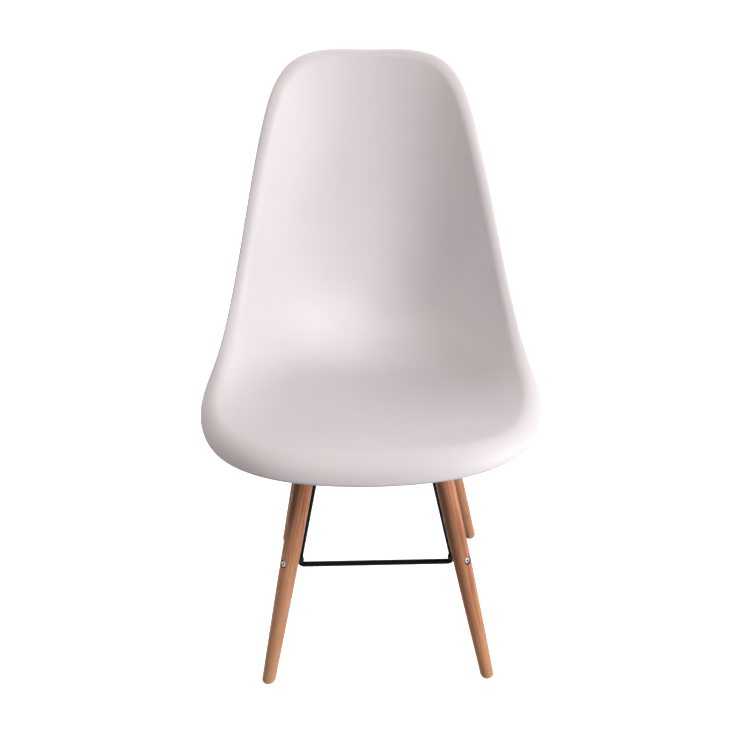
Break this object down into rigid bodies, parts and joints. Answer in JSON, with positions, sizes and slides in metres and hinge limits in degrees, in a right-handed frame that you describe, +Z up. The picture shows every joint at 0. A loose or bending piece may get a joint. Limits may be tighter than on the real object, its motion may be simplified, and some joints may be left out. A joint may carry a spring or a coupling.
{
  "type": "side chair",
  "caption": "Armless side chair: one moulded plastic shell for seat and back, bolted to a braced steel-rod frame on four splayed turned wooden legs.",
  "frame": {"origin": "centre of the bounding box at floor level, under the seat", "axes": "+Z up, -Y the way the sitter faces, +X to the right in the picture (the sitter's left)"},
  "size_m": [0.463, 0.5175, 0.8312],
  "materials": {
    "shell_plastic": "satin",
    "leg_wood": "satin",
    "frame_steel": "satin black powder coat",
    "fastener_steel": "zinc plated",
    "insert_brass": "plain",
    "spacer_rubber": "matt",
    "glide_plastic": "translucent matt"
  },
  "bodies": {
    "root": {"seat_shell": "shell_plastic", "front_rod_frame": "frame_steel", "rear_rod_frame": "frame_steel", "mount_strap_front": "frame_steel", "mount_strap_rear": "frame_steel", "side_rail_left": "frame_steel", "side_brace_left": "frame_steel", "side_rail_right": "frame_steel", "side_brace_right": "frame_steel", "shell_insert_front_left": "insert_brass", "shell_spacer_front_left": "spacer_rubber", "shell_bolt_front_left": "fastener_steel", "leg_front_left": "leg_wood", "leg_bracket_front_left": "frame_steel", "leg_bolt_front_left": "fastener_steel", "leg_nut_front_left": "fastener_steel", "frame_lug_front_left": "frame_steel", "leg_screw_front_left": "fastener_steel", "foot_glide_front_left": "glide_plastic", "shell_insert_front_right": "insert_brass", "shell_spacer_front_right": "spacer_rubber", "shell_bolt_front_right": "fastener_steel", "leg_front_right": "leg_wood", "leg_bracket_front_right": "frame_steel", "leg_bolt_front_right": "fastener_steel", "leg_nut_front_right": "fastener_steel", "frame_lug_front_right": "frame_steel", "leg_screw_front_right": "fastener_steel", "foot_glide_front_right": "glide_plastic", "shell_insert_rear_left": "insert_brass", "shell_spacer_rear_left": "spacer_rubber", "shell_bolt_rear_left": "fastener_steel", "leg_rear_left": "leg_wood", "leg_bracket_rear_left": "frame_steel", "leg_bolt_rear_left": "fastener_steel", "leg_nut_rear_left": "fastener_steel", "frame_lug_rear_left": "frame_steel", "leg_screw_rear_left": "fastener_steel", "foot_glide_rear_left": "glide_plastic", "shell_insert_rear_right": "insert_brass", "shell_spacer_rear_right": "spacer_rubber", "shell_bolt_rear_right": "fastener_steel", "leg_rear_right": "leg_wood", "leg_bracket_rear_right": "frame_steel", "leg_bolt_rear_right": "fastener_steel", "leg_nut_rear_right": "fastener_steel", "frame_lug_rear_right": "frame_steel", "leg_screw_rear_right": "fastener_steel", "foot_glide_rear_right": "glide_plastic"}
  },
  "joints": []
}
